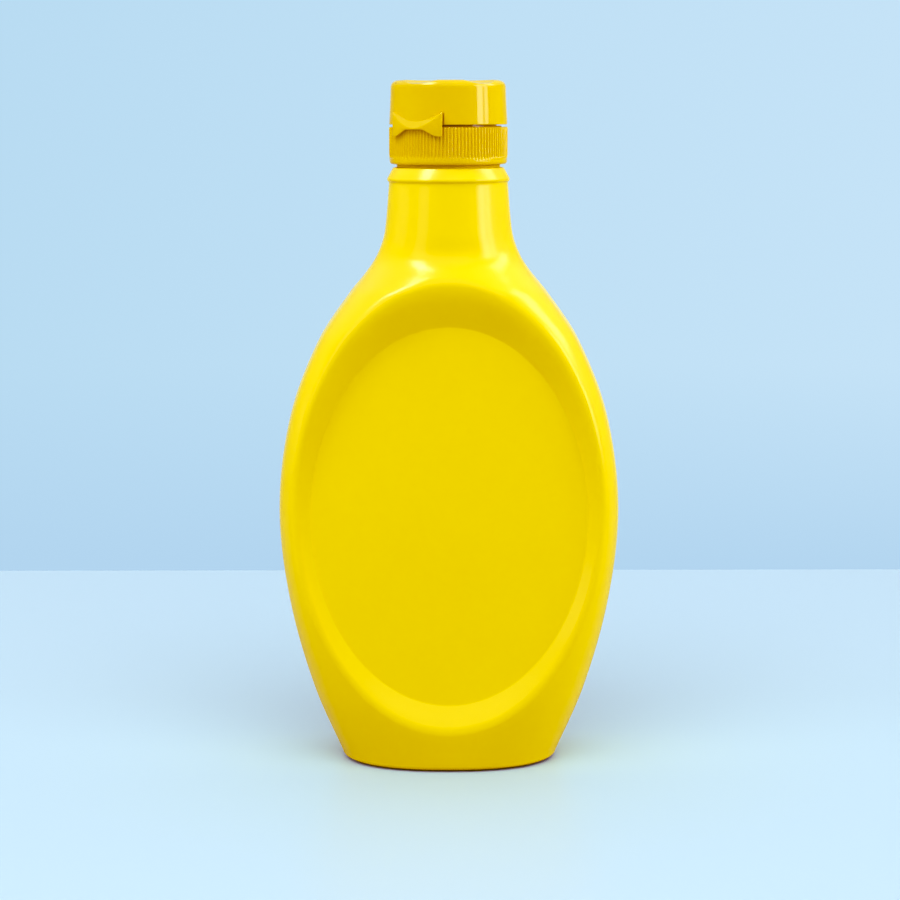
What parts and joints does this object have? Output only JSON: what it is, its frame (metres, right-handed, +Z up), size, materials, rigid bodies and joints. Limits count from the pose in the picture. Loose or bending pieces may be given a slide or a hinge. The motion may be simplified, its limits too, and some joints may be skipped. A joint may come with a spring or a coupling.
{
  "type": "sauce squeeze bottle",
  "caption": "Plain plastic squeeze bottle for sauce, shut: flat-sided body with an oval label panel pressed into its front and back, ribbed screw cap and flip lid with a thumb tab.",
  "frame": {"origin": "centre of the base, on the surface that the bottle stands on", "axes": "+Z up along the neck's axis, -Y towards the front panel, +X to the right seen from the front"},
  "size_m": [0.0878, 0.0476, 0.176],
  "materials": {
    "bottle_plastic": "satin moulded",
    "cap_plastic": "smooth glossy moulded"
  },
  "bodies": {
    "root": {"bottle_body": "bottle_plastic", "screw_cap": "cap_plastic", "flip_lid": "cap_plastic"}
  },
  "joints": []
}
